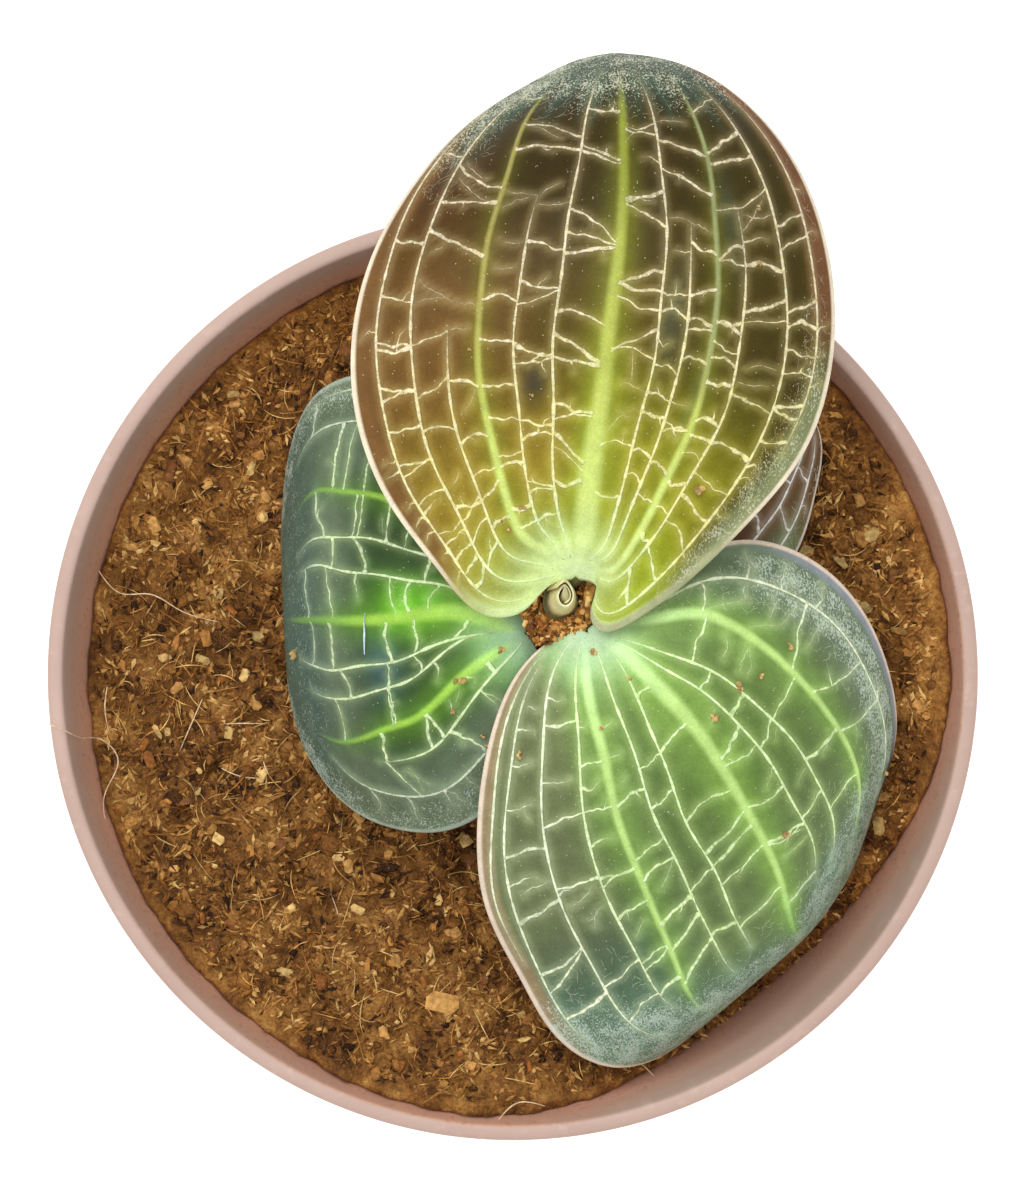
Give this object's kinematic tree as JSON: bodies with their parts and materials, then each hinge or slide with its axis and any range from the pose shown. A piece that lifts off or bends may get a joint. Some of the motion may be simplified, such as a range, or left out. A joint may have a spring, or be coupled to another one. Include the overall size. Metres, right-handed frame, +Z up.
{
  "type": "potted jewel orchid",
  "caption": "Jewel orchid with broad net-veined leaves spread round a rolled new leaf, on a short stem in a round pot filled with coir and fine bark.",
  "frame": {"origin": "middle of the pot's flat base", "axes": "+Z up, +Y towards the far edge of the pot as the picture shows it, where the tallest leaf reaches"},
  "size_m": [0.11, 0.1245, 0.131],
  "materials": {
    "pot_plastic": "satin",
    "coir_and_bark": "rough, loose",
    "fleshy_stem": "satin",
    "bronze_blade": "velvety",
    "green_blade": "velvety",
    "deep_green_blade": "velvety",
    "rolled_blade": "satin",
    "bark": "rough"
  },
  "bodies": {
    "root": {"pot": "pot_plastic", "substrate": "coir_and_bark", "stem": "fleshy_stem", "leaf_top": "bronze_blade", "leaf_front": "green_blade", "leaf_left": "green_blade", "leaf_back": "deep_green_blade", "new_leaf": "rolled_blade", "bark_flake": "bark", "axil_crumbs": "bark"}
  },
  "joints": []
}
